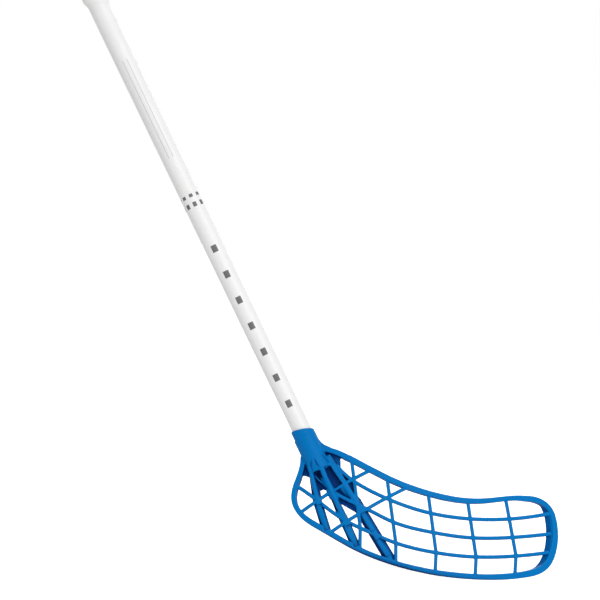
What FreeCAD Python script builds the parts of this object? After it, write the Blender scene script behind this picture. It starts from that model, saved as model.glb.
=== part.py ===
import FreeCAD, Part
import math
import os

import Sketcher

# A floorball stick, held at the butt with its sole level: a tapered tube, a hooked lattice blade
# on a socket, a wound grip and a butt plug. Lengths are millimetres and angles are degrees.
# X runs from heel to toe, Y towards the hollow side of the blade and Z up.
SIZES = {
    # How the stick is held: the shaft's slope towards the heel, and the blade's tilt from upright.
    "lie_angle": 38.0,
    "lean_angle": 14.0,
    # Shaft
    "shaft_length": 920.0,
    "shaft_butt_diameter": 22.4,
    "shaft_butt_length": 400.0,
    "shaft_tip_diameter": 19.8,
    "shaft_tip_length": 60.0,
    "shaft_wall": 1.7,
    # Butt plug
    "cap_diameter": 30.0,
    "cap_wall_height": 8.0,
    "cap_crown_height": 2.4,
    "cap_crown_width": 3.4,
    "cap_plug_length": 30.0,
    "cap_plug_clearance": 0.15,
    "cap_plug_wall": 2.4,
    "cap_ring_height": 0.9,
    "cap_ring_pitch": 7.0,
    # Wound grip
    "grip_length": 367.0,
    "grip_thickness": 1.75,
    "grip_turns": 14.0,
    "grip_seam": 0.6,
    "grip_glue": 0.05,
    # Band that closes the winding
    "band_width": 24.0,
    "band_on_shaft": 8.5,
    "band_thickness": 0.4,
    # Blade, seen from the front
    "blade_length": 280.0,
    "blade_height": 110.0,
    "rim_width": 4.8,
    "rim_depth": 8.6,
    "rib_width": 2.9,
    "rib_depth": 4.4,
    "rib_setback": 0.8,
    "ridge_width": 4.4,
    "strut_diameter": 8.8,
    "strut_setback": 7.4,
    "crest_diameter": 5.2,
    "crest_setback": 2.9,
    "crest_root_rise": 1.2,
    "crest_tip_height": 15.0,
    "crest_tip_rise": 0.1,
    "web_setback": 5.8,
    "web_thickness": 2.4,
    "hook_radius": 420.0,
    # Socket on the blade
    "socket_seat": 104.0,
    "socket_depth": 45.0,
    "socket_wall": 1.9,
    "socket_shift": 0.4,
    "socket_offset": 11.0,
    "socket_clearance": 0.1,
    "collar_length": 7.0,
    "collar_wall": 1.4,
    "mouth_slant": 15.0,
    "seat_ledge": 1.6,
    "heel_shell_inset": 0.9,
    "heel_shell_length": 19.0,
    "heel_shell_span": 31.0,
    "heel_shell_bulge": 3.0,
    # Screws
    "screw_diameter": 3.4,
    "screw_length": 9.0,
    "screw_head_diameter": 6.4,
    "screw_head_height": 2.0,
    "screw_hole_clearance": 0.1,
    "screw_pitch": 15.0,
    "screw_seat": 13.0,
    "screw_boss_diameter": 9.6,
    "screw_boss_height": 1.0,
    # How far a cutting tool runs past the face that it cuts.
    "overrun": 2.0,
}

# Places on the blade: a share of its length and a share of its height, measured from the foot of
# the shaft's axis.
outline_shares = [
    (-0.312, 0.800), (-0.313, 0.600), (-0.313, 0.420), (-0.287, 0.306), (-0.191, 0.186),
    (-0.048, 0.073), (0.137, 0.014), (0.317, 0.037), (0.492, 0.130), (0.603, 0.235),
    (0.664, 0.350), (0.687, 0.555), (0.669, 0.802), (0.624, 0.964), (0.565, 1.003),
    (0.470, 0.918), (0.341, 0.803), (0.207, 0.767), (0.069, 0.792), (-0.073, 0.876),
    (-0.170, 0.953), (-0.240, 0.968), (-0.292, 0.920),
]
# How wide the rim is at each place of the outline, as a share of its plain width
rim_width_shares = [
    1.0, 1.0, 1.0, 1.0, 0.92,
    0.85, 0.8, 0.85, 0.95, 1.0,
    1.2, 1.33, 1.27, 1.02, 0.85,
    0.95, 1.0, 1.0, 1.0, 1.08,
    1.15, 1.1, 1.0,
]
long_rib_shares = [
    [(-0.176, 0.811), (-0.104, 0.700), (-0.052, 0.655), (0.033, 0.605), (0.179, 0.570),
     (0.313, 0.600), (0.445, 0.680), (0.632, 0.880)],
    [(-0.263, 0.697), (-0.173, 0.560), (-0.030, 0.466), (0.070, 0.405), (0.194, 0.396),
     (0.350, 0.438), (0.481, 0.528), (0.652, 0.698)],
    [(-0.302, 0.545), (-0.217, 0.449), (-0.095, 0.313), (-0.042, 0.281), (0.096, 0.219),
     (0.232, 0.219), (0.365, 0.265), (0.496, 0.356), (0.660, 0.522)],
]
cross_rib_shares = [
    [(-0.127, 0.883), (-0.043, 0.285), (-0.026, 0.075)],
    [(0.013, 0.795), (0.096, 0.219), (0.113, 0.020)],
    [(0.169, 0.770), (0.248, 0.221), (0.261, 0.025)],
    [(0.318, 0.790), (0.396, 0.280), (0.409, 0.085)],
    [(0.455, 0.905), (0.541, 0.398), (0.554, 0.190)],
]
diagonal_rib_shares = [
    [(-0.266, 0.310), (-0.173, 0.560), (-0.053, 0.832)],
    [(-0.150, 0.165), (-0.062, 0.400), (0.100, 0.768)],
]
strut_shares = [
    [(-0.275, 0.764), (-0.217, 0.455), (-0.152, 0.160)],
    [(-0.236, 0.755), (-0.137, 0.436), (-0.033, 0.075)],
    [(-0.216, 0.886), (-0.083, 0.520), (0.094, 0.040)],
]
keel_shares = [
    [(-0.217, 0.455), (-0.152, 0.160)],
    [(-0.033, 0.075)],
    [(-0.079, 0.520), (0.099, 0.040)],
]
web_shares = [
    (-0.309, 0.830), (-0.290, 0.662), (-0.262, 0.658), (-0.220, 0.575), (-0.180, 0.565),
    (-0.128, 0.470), (-0.073, 0.425), (-0.100, 0.560), (-0.155, 0.730), (-0.165, 0.850),
    (-0.172, 0.930), (-0.262, 0.930),
]
# The butt plug's crown in from its wall and up to its top
crown_shares = [(0.0, 0.0), (0.22, 0.55), (1.0, 1.0)]
hook_apex_share = 0.011
half_share = 0.5


class Size:
    """A value that carries its number and the sheet expression that gives it."""

    def __init__(self, value, text):
        self.value = value
        self.text = text

    def __add__(self, other):
        other = as_size(other)
        return Size(self.value + other.value, f"({self.text} + {other.text})")

    def __sub__(self, other):
        other = as_size(other)
        return Size(self.value - other.value, f"({self.text} - {other.text})")

    def __mul__(self, other):
        other = as_size(other)
        return Size(self.value * other.value, f"({self.text} * {other.text})")

    def __truediv__(self, other):
        other = as_size(other)
        return Size(self.value / other.value, f"({self.text} / {other.text})")


def as_size(value):
    return value if isinstance(value, Size) else Size(float(value), repr(float(value)))


doc = FreeCAD.newDocument("floorball_stick")
sheet = doc.addObject("Spreadsheet::Sheet", "dims")
for row, (alias, number) in enumerate(SIZES.items(), start=1):
    sheet.set(f"A{row}", alias)
    sheet.set(f"B{row}", str(number))
    sheet.setAlias(f"B{row}", alias)
doc.recompute()


def dim(alias):
    return Size(float(sheet.get(alias)), f"dims.{alias}")


ZERO = as_size(0)
ALONG_X = FreeCAD.Vector(1, 0, 0)
ALONG_Y = FreeCAD.Vector(0, 1, 0)
ALONG_Z = FreeCAD.Vector(0, 0, 1)

shaft_length = dim("shaft_length")
tip_radius = dim("shaft_tip_diameter") / 2
tip_length = dim("shaft_tip_length")
butt_radius = dim("shaft_butt_diameter") / 2
shaft_wall = dim("shaft_wall")
overrun = dim("overrun")

# The stick's pose. Shaft pieces stand on the tip with the axis up, and the blade stands on the
# foot of that axis, at the front of the hook. The origin is in the middle of the butt plug's wall.
lie = math.radians(dim("lie_angle").value)
tilt = FreeCAD.Rotation(ALONG_X, -dim("lean_angle").value)
swing = FreeCAD.Rotation(ALONG_Y, -dim("lie_angle").value)
stick_length = shaft_length + dim("cap_wall_height") / 2
tip_place = (tilt * swing).multVec(ALONG_Z * -stick_length.value)
shaft_pose = FreeCAD.Placement(tip_place, tilt * swing)
axis_up = FreeCAD.Vector(-math.sin(lie), 0, math.cos(lie))
axis_foot = FreeCAD.Vector(0, dim("socket_offset").value, 0)
tip_on_blade = axis_foot + axis_up * dim("socket_seat").value
blade_pose = FreeCAD.Placement(tip_place - tilt.multVec(tip_on_blade), tilt)
socket_pose = FreeCAD.Placement(tip_on_blade, swing)


def bind(item, name, size):
    item.setExpression(name, as_size(size).text)


def origin_plane(body, role):
    return next(item for item in body.Origin.OriginFeatures if item.Role == role)


def pin_point(sketch, line, place):
    """Hold a line's first point at a place given by two sizes."""
    for kind, axis, size in (("DistanceX", -2, place[0]), ("DistanceY", -1, place[1])):
        if size is ZERO:
            sketch.addConstraint(Sketcher.Constraint("PointOnObject", line, 1, axis))
        else:
            fixed = sketch.addConstraint(Sketcher.Constraint(kind, -1, 1, line, 1, size.value))
            bind(sketch, f"Constraints[{fixed}]", size)


def new_sketch(body, name):
    sketch = body.newObject("Sketcher::SketchObject", name)
    sketch.AttachmentSupport = (origin_plane(body, "XZ_Plane"), [""])
    sketch.MapMode = "FlatFace"
    return sketch


def turned_body(name, corners):
    """A body turned about its own Z axis from corners given as radius and height."""
    body = doc.addObject("PartDesign::Body", name)
    sketch = new_sketch(body, f"{name}_profile")
    points = [FreeCAD.Vector(radius.value, height.value, 0) for radius, height in corners]
    count = len(points)
    for index in range(count):
        sketch.addGeometry(Part.LineSegment(points[index], points[(index + 1) % count]))
    for index in range(count):
        joint = Sketcher.Constraint("Coincident", index, 2, (index + 1) % count, 1)
        sketch.addConstraint(joint)
    for index, corner in enumerate(corners):
        pin_point(sketch, index, corner)
    turn = body.newObject("PartDesign::Revolution", f"{name}_turn")
    turn.Profile = sketch
    turn.ReferenceAxis = (sketch, ["V_Axis"])
    doc.recompute()
    return body


# Shaft
screw_heights = [dim("screw_seat"), dim("screw_seat") + dim("screw_pitch")]
screw_hole_radius = dim("screw_diameter") / 2 + dim("screw_hole_clearance")
taper_top = shaft_length - dim("shaft_butt_length")
shaft = turned_body("shaft", [
    (tip_radius - shaft_wall, ZERO),
    (tip_radius, ZERO),
    (tip_radius, tip_length),
    (butt_radius, taper_top),
    (butt_radius, shaft_length),
    (butt_radius - shaft_wall, shaft_length),
    (butt_radius - shaft_wall, taper_top),
    (tip_radius - shaft_wall, tip_length),
])
pilot_sketch = new_sketch(shaft, "pilot_circles")
for index, height in enumerate(screw_heights):
    centre = FreeCAD.Vector(0, height.value, 0)
    pilot_sketch.addGeometry(Part.Circle(centre, ALONG_Z, screw_hole_radius.value))
    pilot_sketch.addConstraint(Sketcher.Constraint("PointOnObject", index, 3, -2))
    place = pilot_sketch.addConstraint(Sketcher.Constraint("DistanceY", -1, 1, index, 3, height.value))
    bind(pilot_sketch, f"Constraints[{place}]", height)
    size = pilot_sketch.addConstraint(Sketcher.Constraint("Radius", index, screw_hole_radius.value))
    bind(pilot_sketch, f"Constraints[{size}]", screw_hole_radius)
pilots = shaft.newObject("PartDesign::Pocket", "pilot_holes")
pilots.Profile = pilot_sketch
pilots.Type = "Length"
bind(pilots, "Length", butt_radius)
doc.recompute()
shaft.Placement = shaft_pose

# Butt plug: a flange with a low crown, and a hollow plug with retaining rings
cap_radius = dim("cap_diameter") / 2
cap_top = shaft_length + dim("cap_wall_height")
plug_foot = shaft_length - dim("cap_plug_length")
ring_radius = butt_radius - shaft_wall - dim("cap_plug_clearance")
core_radius = ring_radius - dim("cap_ring_height")
hollow_radius = core_radius - dim("cap_plug_wall")
ring_count = 2
cap_corners = [(hollow_radius, plug_foot), (core_radius, plug_foot)]
for ring in range(ring_count):
    ring_foot = plug_foot + dim("cap_ring_pitch") * ring + dim("cap_ring_height")
    ring_top = ring_foot + dim("cap_ring_height") * 2
    cap_corners += [(core_radius, ring_foot), (ring_radius, ring_foot)]
    cap_corners += [(ring_radius, ring_top), (core_radius, ring_top)]
cap_corners += [(core_radius, shaft_length), (cap_radius, shaft_length)]
for across, up in crown_shares:
    crown_place = cap_top + dim("cap_crown_height") * up
    cap_corners.append((cap_radius - dim("cap_crown_width") * across, crown_place))
cap_corners += [
    (ZERO, cap_top + dim("cap_crown_height")),
    (ZERO, shaft_length),
    (hollow_radius, shaft_length),
]
end_cap = turned_body("end_cap", cap_corners)
end_cap.Placement = shaft_pose


# Wound grip: one flat strip whose turns lie side by side, cut off level at both ends
grip_foot = shaft_length - dim("grip_length")
grip_pitch = dim("grip_length") / dim("grip_turns")
grip_seam = dim("grip_seam")
steps_per_turn = 20
flat_share = 1 / math.cos(math.pi / steps_per_turn)


# Corner radii of the wound strip: its inner flats just clear the shaft
grip_inside = (butt_radius + dim("grip_glue")) * flat_share
grip_outside = grip_inside + dim("grip_thickness")


def strip_section(step):
    """The strip cut across at one step of its winding, with its edges kept between the ends."""
    turn = step / steps_per_turn
    angle = 2 * math.pi * turn
    outward = FreeCAD.Vector(math.cos(angle), math.sin(angle), 0)
    low = grip_foot + grip_pitch * (turn - 1) + grip_seam / 2
    high = grip_foot + grip_pitch * turn - grip_seam / 2
    low = low if low.value > grip_foot.value else grip_foot
    high = high if high.value < shaft_length.value else shaft_length
    return [
        outward * grip_inside.value + ALONG_Z * low.value,
        outward * grip_outside.value + ALONG_Z * low.value,
        outward * grip_outside.value + ALONG_Z * high.value,
        outward * grip_inside.value + ALONG_Z * high.value,
    ]


strip_steps = int(round((dim("grip_turns").value + 1) * steps_per_turn))
strip_sections = [strip_section(step) for step in range(1, strip_steps)]
strip_gap = min(
    this_turn[corner].distanceToPoint(next_turn[3 - corner])
    for this_turn, next_turn in zip(strip_sections, strip_sections[steps_per_turn:])
    for corner in (2, 3)
)
print(f"least gap between turns of the grip: {strip_gap:.2f} mm")
grip_tape = doc.addObject("Part::Feature", "grip_tape")
grip_tape.Shape = Part.makeLoft(
    [Part.makePolygon(section + section[:1]) for section in strip_sections], True, True)
grip_tape.Placement = shaft_pose

# Band that closes the winding: it ramps down from the strip to the bare shaft
band_glue = dim("grip_glue")
band_thickness = dim("band_thickness")
band_foot = grip_foot - dim("band_on_shaft")
band_top = band_foot + dim("band_width")
finishing_tape = turned_body("finishing_tape", [
    (butt_radius + band_glue, band_foot),
    (butt_radius + band_glue + band_thickness, band_foot),
    (grip_outside + band_glue + band_thickness, grip_foot),
    (grip_outside + band_glue + band_thickness, band_top),
    (grip_outside + band_glue, band_top),
    (grip_outside + band_glue, grip_foot),
    (butt_radius + band_glue, grip_foot),
])
finishing_tape.Placement = shaft_pose

# Socket sizes that the blade and its screws share, along the shaft's axis from the tip
socket_top = dim("socket_depth")
bore_radius = tip_radius + dim("socket_clearance")
socket_radius = bore_radius + dim("socket_wall")
collar_radius = bore_radius + dim("collar_wall")
screw_face = socket_radius + dim("screw_boss_height")


# Screws: a pan head on a plain shank, seated on flat bosses behind the socket
def screw(name, height):
    head_radius = dim("screw_head_diameter") / 2
    shank_radius = dim("screw_diameter") / 2
    body = turned_body(name, [
        (ZERO, ZERO),
        (shank_radius, ZERO),
        (shank_radius, dim("screw_length")),
        (head_radius, dim("screw_length")),
        (head_radius, dim("screw_length") + dim("screw_head_height") / 2),
        (shank_radius, dim("screw_length") + dim("screw_head_height")),
        (ZERO, dim("screw_length") + dim("screw_head_height")),
    ])
    point = screw_face - dim("screw_length")
    place = FreeCAD.Vector(0, point.value, height.value)
    facing_back = FreeCAD.Rotation(ALONG_X, -90)
    body.Placement = shaft_pose * FreeCAD.Placement(place, facing_back)
    return body


blade_screws = doc.addObject("Part::Compound", "blade_screws")
blade_screws.Links = [
    screw(f"screw_{number}", height) for number, height in enumerate(screw_heights, start=1)
]

# Blade, in its own upright frame: X to the toe, Y to the back, Z up from the floor
blade_length = dim("blade_length")
blade_height = dim("blade_height")
hook_radius = dim("hook_radius")
hook_apex = blade_length * hook_apex_share
samples_per_span = 2
outline_stretches = 12


def on_blade(share):
    """A point of the front view, just ahead of the blade."""
    return FreeCAD.Vector(
        blade_length.value * share[0], -overrun.value, blade_height.value * share[1])


def front_at(x):
    """Depth of the blade's front surface, which the hook bends back from the apex."""
    aside = x - hook_apex.value
    return hook_radius.value - math.sqrt(hook_radius.value ** 2 - aside ** 2)


toe_reach = max(share[0] for share in outline_shares) * blade_length.value
hook_back = front_at(toe_reach) + dim("rim_depth").value * 2


def smooth_curve(points, closed):
    curve = Part.BSplineCurve()
    curve.interpolate(Points=points, PeriodicFlag=closed)
    return curve


def beside(curve, parameter, distance):
    """A point of the front view at a distance to the left of a curve."""
    along = curve.tangent(parameter)[0]
    return curve.value(parameter) + ALONG_Y.cross(along) * distance


def stations(curve, count):
    first, last = curve.FirstParameter, curve.LastParameter
    return [first + (last - first) * step / count for step in range(count + 1)]


def strip_face(shares, width):
    """A rib seen from the front: an even strip along a smooth line through a few places."""
    curve = smooth_curve([on_blade(share) for share in shares], False)
    spots = stations(curve, samples_per_span * (len(shares) - 1))
    sides = []
    for side in (-1, 1):
        sides.append([beside(curve, spot, side * width.value / 2) for spot in spots])
    edges = [smooth_curve(side, False).toShape() for side in sides]
    edges.append(Part.LineSegment(sides[0][0], sides[1][0]).toShape())
    edges.append(Part.LineSegment(sides[0][-1], sides[1][-1]).toShape())
    return Part.Face(Part.Wire(Part.__sortEdges__(edges)))


def bar_face(start, end, width):
    """A straight rib seen from the front."""
    start, end = on_blade(start), on_blade(end)
    aside = ALONG_Y.cross(end - start).normalize() * (width.value / 2)
    corners = [start - aside, end - aside, end + aside, start + aside]
    return Part.Face(Part.makePolygon(corners + corners[:1]))


def outline_wire(drawn_in, depth):
    """The blade's outline drawn in by a part of the rim, on lines that run to the hook's centre."""
    outer = smooth_curve([on_blade(share) for share in outline_shares], True)
    spots = stations(outer, samples_per_span * len(outline_shares))[:-1]
    points = []
    for number, spot in enumerate(spots):
        span, part = divmod(number, samples_per_span)
        here = rim_width_shares[span]
        there = rim_width_shares[(span + 1) % len(rim_width_shares)]
        width = dim("rim_width").value * (here + (there - here) * part / samples_per_span)
        point = beside(outer, spot, -width * drawn_in)
        aside = point.x - hook_apex.value
        slope = aside / (hook_radius.value - front_at(point.x))
        points.append(FreeCAD.Vector(
            hook_apex.value + slope * (hook_radius.value - depth), depth, point.z))
    curve = smooth_curve(points, True)
    ends = stations(curve, outline_stretches)
    return Part.Wire([curve.toShape(start, end) for start, end in zip(ends, ends[1:])])


def outline_solid(name, drawn_in):
    """The inside of a drawn-in outline, with walls square to the hook all round."""
    wires = []
    for side, depth in (("front", -socket_radius.value), ("back", hook_back)):
        wire = doc.addObject("Part::Feature", f"{name}_{side}")
        wire.Shape = outline_wire(drawn_in, depth)
        wires.append(wire)
    solid = doc.addObject("Part::Loft", f"{name}_solid")
    solid.Sections = wires
    solid.Solid = True
    solid.Ruled = True
    return solid


def hook_layer(name, setback, depth):
    """A curved sheet that follows the hook, a setback behind the front surface."""
    skins = []
    for side, radius in (("front", hook_radius - setback), ("back", hook_radius - setback - depth)):
        skin = doc.addObject("Part::Cylinder", f"{name}_{side}")
        bind(skin, "Radius", radius)
        bind(skin, "Height", blade_height + overrun * 2)
        skin.Placement.Base = FreeCAD.Vector(hook_apex.value, hook_radius.value, -overrun.value)
        skins.append(skin)
    layer = doc.addObject("Part::Cut", f"{name}_layer")
    layer.Base, layer.Tool = skins
    return layer


def pushed_back(name, face):
    """A front view pushed back through the whole hook."""
    view = doc.addObject("Part::Feature", f"{name}_view")
    view.Shape = face
    prism = doc.addObject("Part::Extrusion", f"{name}_prism")
    prism.Base = view
    prism.DirMode = "Custom"
    prism.Dir = ALONG_Y
    prism.Solid = True
    bind(prism, "LengthFwd", hook_radius)
    return prism


def hooked(name, face, setback, depth):
    """A front view pushed back, and kept where it meets one of the hook's layers."""
    piece = doc.addObject("Part::Common", name)
    piece.Base = pushed_back(name, face)
    piece.Tool = hook_layer(name, setback, depth)
    return piece


def joined(faces):
    """Crossing strips of one front view as a single face."""
    return faces[0].multiFuse(faces[1:]).removeSplitter()


rib_width = dim("rib_width")
rib_faces = [strip_face(shares, rib_width) for shares in long_rib_shares + diagonal_rib_shares]
for top, knee, foot in cross_rib_shares:
    rib_faces += [bar_face(top, knee, rib_width), bar_face(knee, foot, rib_width)]
rib_faces += [strip_face(shares, dim("ridge_width")) for shares in strut_shares]
web_corners = [on_blade(share) for share in web_shares]
web_face = Part.Face(Part.makePolygon(web_corners + web_corners[:1]))

outer_solid = outline_solid("outer", 0)
inner_solid = outline_solid("inner", 1)
field_solid = outline_solid("field", half_share)
rim_ring = doc.addObject("Part::Cut", "rim_ring")
rim_ring.Base = outer_solid
rim_ring.Tool = inner_solid
rim = doc.addObject("Part::Common", "rim")
rim.Base = rim_ring
rim.Tool = hook_layer("rim", ZERO, dim("rim_depth"))
all_ribs = hooked("all_ribs", joined(rib_faces), dim("rib_setback"), dim("rib_depth"))
ribs = doc.addObject("Part::Common", "ribs")
ribs.Base = all_ribs
ribs.Tool = field_solid
web = hooked("web", web_face, dim("web_setback"), dim("web_thickness"))


# Struts: deep round bars that fan out below the socket, each with a slimmer crest that swells out
# of the socket's front wall and runs down to the ridge on the lattice
strut_radius = dim("strut_diameter") / 2
crest_radius = dim("crest_diameter") / 2
# Round the socket from its front: where each crest starts and leaves the wall, and its bar below
crest_tip_angles = (-28, -16, 22)
crest_root_angles = (-66, -2, 64)
crest_root_shares = (0.5, -0.1, 0.35)
keel_angles = (-96, 0, 65)
keel_sink_shares = (0.0, 1.0, 1.0)
keel_width_shares = (1.0, 1.0, 1.25)


def on_socket_wall(angle, height, radius, rise):
    """The middle of a round bar that lies along the socket's front wall and rises from it."""
    reach = socket_radius.value - radius.value + rise.value
    turn = math.radians(angle)
    place = FreeCAD.Vector(reach * math.sin(turn), -reach * math.cos(turn), height.value)
    return socket_pose.multVec(place)


def in_hook(share, setback):
    """A place of the front view at a depth behind the hook's surface."""
    place = on_blade(share)
    place.y = front_at(place.x) + setback.value
    return place


def round_bars(radius, places):
    for start, end in zip(places, places[1:]):
        bar = doc.addObject("Part::Cylinder", f"strut_bar_{len(bars) + 1}")
        bind(bar, "Radius", radius)
        bar.Height = (end - start).Length + overrun.value
        bar.Placement = FreeCAD.Placement(start, FreeCAD.Rotation(ALONG_Z, end - start))
        bars.append(bar)


bars = []
for number, shares in enumerate(strut_shares):
    crest_tip = on_socket_wall(
        crest_tip_angles[number], dim("crest_tip_height"), crest_radius, dim("crest_tip_rise"))
    crest_root = on_socket_wall(
        crest_root_angles[number], dim("crest_tip_height") * crest_root_shares[number],
        crest_radius, dim("crest_root_rise"))
    crest_foot = in_hook(shares[1], dim("crest_setback"))
    round_bars(crest_radius, [crest_tip, crest_root, crest_foot])
    keel_radius = strut_radius * keel_width_shares[number]
    keel_root = on_socket_wall(
        keel_angles[number], strut_radius, keel_radius,
        ZERO - dim("socket_wall") * keel_sink_shares[number])
    keel_setback = dim("strut_setback") + keel_radius - strut_radius
    keel = [in_hook(share, keel_setback) for share in keel_shares[number]]
    round_bars(keel_radius, [keel_root] + keel)
struts = []
for number, bar in enumerate(bars, start=1):
    strut = doc.addObject("Part::Common", f"strut_{number}")
    strut.Base = bar
    strut.Tool = field_solid
    struts.append(strut)


# Socket: a tube that is thicker towards the heel, with a thinner collar round its mouth
def on_socket(item, place, turn=FreeCAD.Rotation()):
    item.Placement = socket_pose * FreeCAD.Placement(place, turn)
    return item


def socket_cylinder(name, radius, height, place, turn=FreeCAD.Rotation()):
    item = doc.addObject("Part::Cylinder", name)
    bind(item, "Radius", radius)
    bind(item, "Height", height)
    return on_socket(item, place, turn)


tube_length = socket_top - dim("collar_length")
tube = socket_cylinder(
    "socket_tube", socket_radius, tube_length, ALONG_X * -dim("socket_shift").value)
collar = socket_cylinder(
    "socket_collar", collar_radius, dim("collar_length") + overrun * 2, ALONG_Z * tube_length.value)
bore = socket_cylinder("socket_bore", bore_radius, socket_top + overrun * 3, FreeCAD.Vector())

mouth = doc.addObject("Part::Box", "socket_mouth")
mouth_size = socket_radius * 4
for side in ("Length", "Width", "Height"):
    bind(mouth, side, mouth_size)
mouth_turn = FreeCAD.Rotation(ALONG_Y, dim("mouth_slant").value)
mouth_corner = FreeCAD.Vector(-mouth_size.value / 2, -mouth_size.value / 2, 0)
on_socket(mouth, ALONG_Z * socket_top.value + mouth_turn.multVec(mouth_corner), mouth_turn)

# Screw bosses and holes, square to the axis on the back of the socket
facing_back = FreeCAD.Rotation(ALONG_X, -90)
bosses = []
screw_holes = []
for number, height in enumerate(screw_heights, start=1):
    place = ALONG_Z * height.value + ALONG_Y * tip_radius.value
    boss_height = screw_face - tip_radius
    bosses.append(socket_cylinder(
        f"boss_{number}", dim("screw_boss_diameter") / 2, boss_height, place, facing_back))
    screw_holes.append(socket_cylinder(
        f"hole_{number}", screw_hole_radius, screw_face + overrun, ALONG_Z * height.value, facing_back))


# Heel shell: the back of the socket flattens out into the web, and its top edge seats the shaft
def crescent(height, half_span, end_depth, bulge, wall):
    """A bowed section across the socket's axis, open to the front."""
    edges = []
    ends = []
    for inset in (0, wall):
        left = FreeCAD.Vector(inset - half_span, end_depth, height)
        middle = FreeCAD.Vector(0, end_depth + bulge - inset, height)
        right = FreeCAD.Vector(half_span - inset, end_depth, height)
        edges.append(Part.Arc(left, middle, right).toShape())
        ends.append((left, right))
    for outer_end, inner_end in zip(*ends):
        edges.append(Part.LineSegment(outer_end, inner_end).toShape())
    return Part.Wire(Part.__sortEdges__(edges))


seat_radius = socket_radius - dim("heel_shell_inset")
seat_wall = seat_radius - tip_radius + dim("seat_ledge")
shell_foot = socket_pose.multVec(ALONG_Z * -dim("heel_shell_length").value)
web_middle = dim("web_setback") + dim("web_thickness") / 2
shell_end_depth = front_at(shell_foot.x) + web_middle.value - dim("socket_offset").value
heel_shell = doc.addObject("Part::Feature", "heel_shell")
heel_shell.Shape = Part.makeLoft([
    crescent(overrun.value, seat_radius.value, 0, seat_radius.value, seat_wall.value),
    crescent(-dim("heel_shell_length").value, dim("heel_shell_span").value / 2, shell_end_depth,
             dim("heel_shell_bulge").value + dim("web_thickness").value, dim("web_thickness").value),
], True)
heel_shell.Placement = socket_pose

moulding = ribs
added = struts + [rim, web, tube, collar, heel_shell] + bosses
for number, piece in enumerate(added, start=1):
    joint = doc.addObject("Part::Fuse", f"moulding_{number}")
    joint.Base = moulding
    joint.Tool = piece
    joint.Refine = False
    moulding = joint
openings = doc.addObject("Part::MultiFuse", "openings")
openings.Shapes = [bore, mouth] + screw_holes
blade = doc.addObject("Part::Cut", "blade")
blade.Base = moulding
blade.Tool = openings
doc.recompute()
blade.Placement = blade_pose

# Every object has to be sound before anything is written
nodes = [shaft, blade, blade_screws, grip_tape, finishing_tape, end_cap]
for item in doc.Objects:
    if "Invalid" in item.State or "Error" in item.State:
        raise RuntimeError(f"{item.Name} failed: {item.State}")
os.makedirs("parts", exist_ok=True)
for node in nodes:
    node.Label = node.Name
    shape = node.Shape
    if shape.isNull() or not shape.isValid():
        raise RuntimeError(f"{node.Label} has no sound shape")
    shape.exportStep(f"parts/{node.Label}.step")
    print(node.Label, len(shape.Solids), round(shape.Volume))
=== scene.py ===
import math

import bmesh
import bpy
from mathutils import Matrix, Vector


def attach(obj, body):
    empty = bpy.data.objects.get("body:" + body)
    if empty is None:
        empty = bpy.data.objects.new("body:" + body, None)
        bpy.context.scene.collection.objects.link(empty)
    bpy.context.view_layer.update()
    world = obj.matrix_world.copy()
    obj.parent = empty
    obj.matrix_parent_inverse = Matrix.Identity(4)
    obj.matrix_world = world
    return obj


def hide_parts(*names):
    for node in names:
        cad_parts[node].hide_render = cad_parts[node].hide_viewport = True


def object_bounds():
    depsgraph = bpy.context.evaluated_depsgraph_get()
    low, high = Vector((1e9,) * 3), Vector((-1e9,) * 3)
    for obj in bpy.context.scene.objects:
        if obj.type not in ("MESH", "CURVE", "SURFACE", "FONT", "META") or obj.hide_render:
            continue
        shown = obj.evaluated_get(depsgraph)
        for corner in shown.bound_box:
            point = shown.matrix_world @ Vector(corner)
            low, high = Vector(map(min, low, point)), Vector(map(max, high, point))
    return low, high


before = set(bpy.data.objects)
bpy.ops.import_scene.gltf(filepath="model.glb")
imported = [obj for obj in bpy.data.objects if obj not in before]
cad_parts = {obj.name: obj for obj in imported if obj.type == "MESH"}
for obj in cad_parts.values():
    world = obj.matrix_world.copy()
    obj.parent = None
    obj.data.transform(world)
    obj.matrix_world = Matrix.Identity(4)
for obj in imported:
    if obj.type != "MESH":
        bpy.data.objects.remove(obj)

cad_box = [list(corner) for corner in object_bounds()]

# The floorball stick's looks. Lengths are millimetres until a mesh or a material is made. Heights run
# up the shaft from its tip, with X to the toe, Y to the hollow side of the blade and Z along the axis.
MM = 0.001
LIE = math.radians(38)
LEAN = math.radians(14)

# Shaft: the lower end that is drawn lies a little above the tip, out of sight in the socket
SHAFT_LENGTH = 920
SHAFT_WALL = 1.7
TIP_RADIUS = 9.9
TIP_HEIGHT = 3
TIP_LENGTH = 60
TIP_EDGE = 0.4
BUTT_RADIUS = 11.2
BUTT_EDGE = 0.3
TAPER_TOP = 520

# Print on the shaft: heights and half lengths along it, and degrees round it
RING_ROWS = ((316.6, 1.8), (306.6, 2.6))
RING_COLUMNS = 8
RING_ANGLE = 91.5
DASH_PITCH = 30
DASH_MIDDLE = 171
DASH_HALF_LENGTH = 104
DASH_ANGLE = -100
HAIRLINE_MIDDLE = 420
HAIRLINE_HALF_LENGTH = 58
HAIRLINE_ANGLES = (-112, -86)

# Grip and the band that closes it
GRIP_FOOT = 553
GRIP_TURNS = 14
GRIP_INSIDE = 11.32
GRIP_OUTSIDE = 13.1
GRIP_SEAM = 0.6
GRIP_CROWN = 0.12
GRIP_EDGE = 1.1
BAND_FOOT = 544.5
BAND_TOP = 568.5
BAND_SLANT = 3.5
BAND_THICKNESS = 0.32
BAND_FIT = 0.06
BAND_LAP = 1.5

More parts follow.
